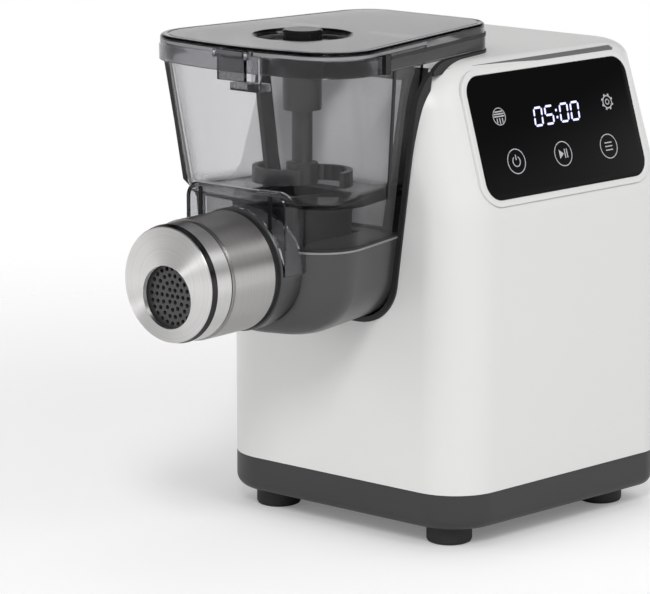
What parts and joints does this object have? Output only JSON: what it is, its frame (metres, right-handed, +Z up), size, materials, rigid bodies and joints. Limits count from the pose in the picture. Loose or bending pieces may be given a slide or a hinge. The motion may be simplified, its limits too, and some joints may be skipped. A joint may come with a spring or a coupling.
{
  "type": "electric pasta maker",
  "caption": "Countertop electric pasta maker: drive tower with a sloping touch panel, smoky mixing hopper with lift-off lid and paddle, and a steel extruder barrel with screw-on cap",
  "frame": {"origin": "on the ground under the middle of the outer box", "axes": "+Z up, -Y towards the front where the pasta comes out, +X towards the control side"},
  "size_m": [0.219, 0.3292, 0.3031],
  "materials": {
    "shell": "pearl white gloss",
    "base": "dark grey satin",
    "rubber": "matt black",
    "screw": "plain",
    "screen": "black gloss",
    "module": "black",
    "board": "green solder mask",
    "vent": "white satin",
    "black_plastic": "black satin",
    "motor_steel": "plain",
    "gear_plastic": "natural nylon",
    "casting": "cast",
    "dark_housing": "dark grey satin gloss",
    "smoky": "smoky clear plastic",
    "smoky_lid": "smoky clear plastic",
    "steel": "brushed",
    "steel_cap": "turned",
    "collar": "grey satin",
    "die": "dark grey",
    "auger": "dark grey",
    "shaft": "grey satin",
    "seal": "silicone"
  },
  "bodies": {
    "machine": {"housing": "shell", "base_tray": "base", "feet": "rubber", "base_screws": "screw", "control_bezel": "shell", "panel_glass": "screen", "display_module": "module", "control_board": "board", "rear_vent": "vent", "power_inlet": "black_plastic", "motor_can": "motor_steel", "motor_saddle": "base", "gearbox_case": "casting", "gearbox_cover": "casting", "shaft_bearings": "motor_steel", "shaft_seal": "rubber", "mixer_motor": "motor_steel", "hopper_rim": "rubber", "lower_housing": "dark_housing", "feed_chute": "black_plastic", "hopper": "smoky", "barrel_guard": "smoky", "barrel_collar": "collar", "collar_ring": "rubber", "barrel_sleeve": "steel", "cap_seal": "rubber", "die_disc": "die", "latch_catch": "smoky"},
    "drive_rotor": {"motor_rotor": "motor_steel", "cooling_fan": "black_plastic", "motor_pinion": "motor_steel"},
    "screw": {"drive_gear": "gear_plastic", "drive_shaft": "motor_steel", "auger": "auger"},
    "cap": {"end_cap": "steel_cap"},
    "dog": {"mixer_dog": "black_plastic"},
    "lid": {"lid": "smoky_lid", "lid_seal": "seal", "drive_cover": "shaft", "cover_floor": "shaft", "latch_ears": "smoky", "latch_pin": "screw", "lid_clips": "black_plastic", "drive_belt": "rubber"},
    "belt_wheel": {"dog_pulley": "gear_plastic"},
    "mixer": {"mixer_pulley": "gear_plastic", "mixing_shaft": "shaft", "lid_hub": "black_plastic", "mixing_paddle": "shaft"},
    "latch": {"lid_latch": "smoky"}
  },
  "joints": [
    {"name": "auger_spin", "type": "hinge", "parent": "machine", "child": "screw", "pos_m": [0, -0.07642, 0.172], "axis": [0, 1, 0], "continuous": true},
    {"name": "motor_spin", "type": "hinge", "parent": "machine", "child": "drive_rotor", "pos_m": [0, 0.07358, 0.0995], "axis": [0, 1, 0], "continuous": true},
    {"name": "cap_turn", "type": "hinge", "parent": "machine", "child": "cap", "pos_m": [0, -0.15642, 0.172], "axis": [0, 1, 0], "range_deg": [0, 90]},
    {"name": "dog_spin", "type": "hinge", "parent": "machine", "child": "dog", "pos_m": [0, 0.04858, 0.275], "axis": [0, 0, 1], "continuous": true},
    {"name": "lid_lift", "type": "slide", "parent": "machine", "child": "lid", "axis": [0, 0, 1], "range_m": [0, 0.12]},
    {"name": "belt_wheel_spin", "type": "hinge", "parent": "lid", "child": "belt_wheel", "pos_m": [0, 0.04858, 0.289], "axis": [0, 0, 1], "continuous": true},
    {"name": "mixer_spin", "type": "hinge", "parent": "lid", "child": "mixer", "pos_m": [0, -0.04742, 0.289], "axis": [0, 0, 1], "continuous": true},
    {"name": "latch_swing", "type": "hinge", "parent": "lid", "child": "latch", "pos_m": [0.006, -0.11574, 0.2965], "axis": [-1, 0, 0], "range_deg": [0, 95]}
  ],
  "couplings": [
    {"joint": "motor_spin", "follows": "auger_spin", "ratio": -3.8333},
    {"joint": "dog_spin", "follows": "mixer_spin", "ratio": 1},
    {"joint": "belt_wheel_spin", "follows": "mixer_spin", "ratio": 1}
  ]
}
